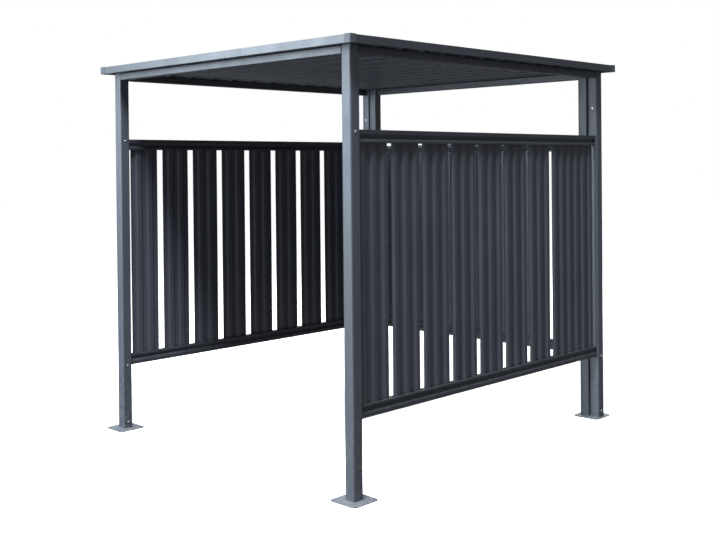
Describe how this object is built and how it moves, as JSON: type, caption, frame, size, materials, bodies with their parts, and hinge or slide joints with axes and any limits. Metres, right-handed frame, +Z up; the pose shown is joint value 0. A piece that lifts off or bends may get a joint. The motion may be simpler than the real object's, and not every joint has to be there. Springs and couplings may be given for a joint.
{
  "type": "bike shelter",
  "caption": "Free-standing bicycle shelter of coated steel: flat ribbed roof on posts with base plates, open front, half-height slatted sides and back.",
  "frame": {"origin": "on the ground in the middle of the plan", "axes": "+Z up; the open front faces -Y; the slatted walls face -X (left), +X (right) and +Y (back)"},
  "size_m": [1.955, 2.135, 2],
  "materials": {
    "posts": "anthracite powder coat, satin",
    "plates": "anthracite powder coat, satin",
    "rails": "anthracite powder coat, satin",
    "slats": "anthracite coated pressed sheet, satin",
    "beams": "anthracite powder coat, satin",
    "roof_edge": "anthracite coated folded sheet, satin",
    "roof_sheets": "anthracite coated ribbed sheet, satin",
    "caps": "moulded anthracite plastic, fine grain"
  },
  "bodies": {
    "root": {"base_plate_back_left": "plates", "base_plate_back_right": "plates", "base_plate_front_left": "plates", "base_plate_front_right": "plates", "beam_back": "beams", "beam_front": "beams", "beam_left": "beams", "beam_right": "beams", "corner_cap_back_left": "caps", "corner_cap_back_right": "caps", "corner_cap_front_left": "caps", "corner_cap_front_right": "caps", "post_back_left": "posts", "post_back_right": "posts", "post_front_left": "posts", "post_front_right": "posts", "rail_bottom_back": "rails", "rail_bottom_left": "rails", "rail_bottom_right": "rails", "rail_top_back": "rails", "rail_top_left": "rails", "rail_top_right": "rails", "roof_edge_back": "roof_edge", "roof_edge_front": "roof_edge", "roof_edge_left": "roof_edge", "roof_edge_right": "roof_edge", "roof_sheet_back": "roof_sheets", "roof_sheet_front": "roof_sheets", "slat_back_1": "slats", "slat_back_2": "slats", "slat_back_3": "slats", "slat_back_4": "slats", "slat_back_5": "slats", "slat_back_6": "slats", "slat_back_wide": "slats", "slat_left_1": "slats", "slat_left_2": "slats", "slat_left_3": "slats", "slat_left_4": "slats", "slat_left_5": "slats", "slat_left_6": "slats", "slat_left_7": "slats", "slat_left_double": "slats", "slat_right_1": "slats", "slat_right_2": "slats", "slat_right_3": "slats", "slat_right_4": "slats", "slat_right_5": "slats", "slat_right_6": "slats", "slat_right_7": "slats", "slat_right_double": "slats", "twin_post_back_left": "posts", "twin_post_back_right": "posts"}
  },
  "joints": []
}
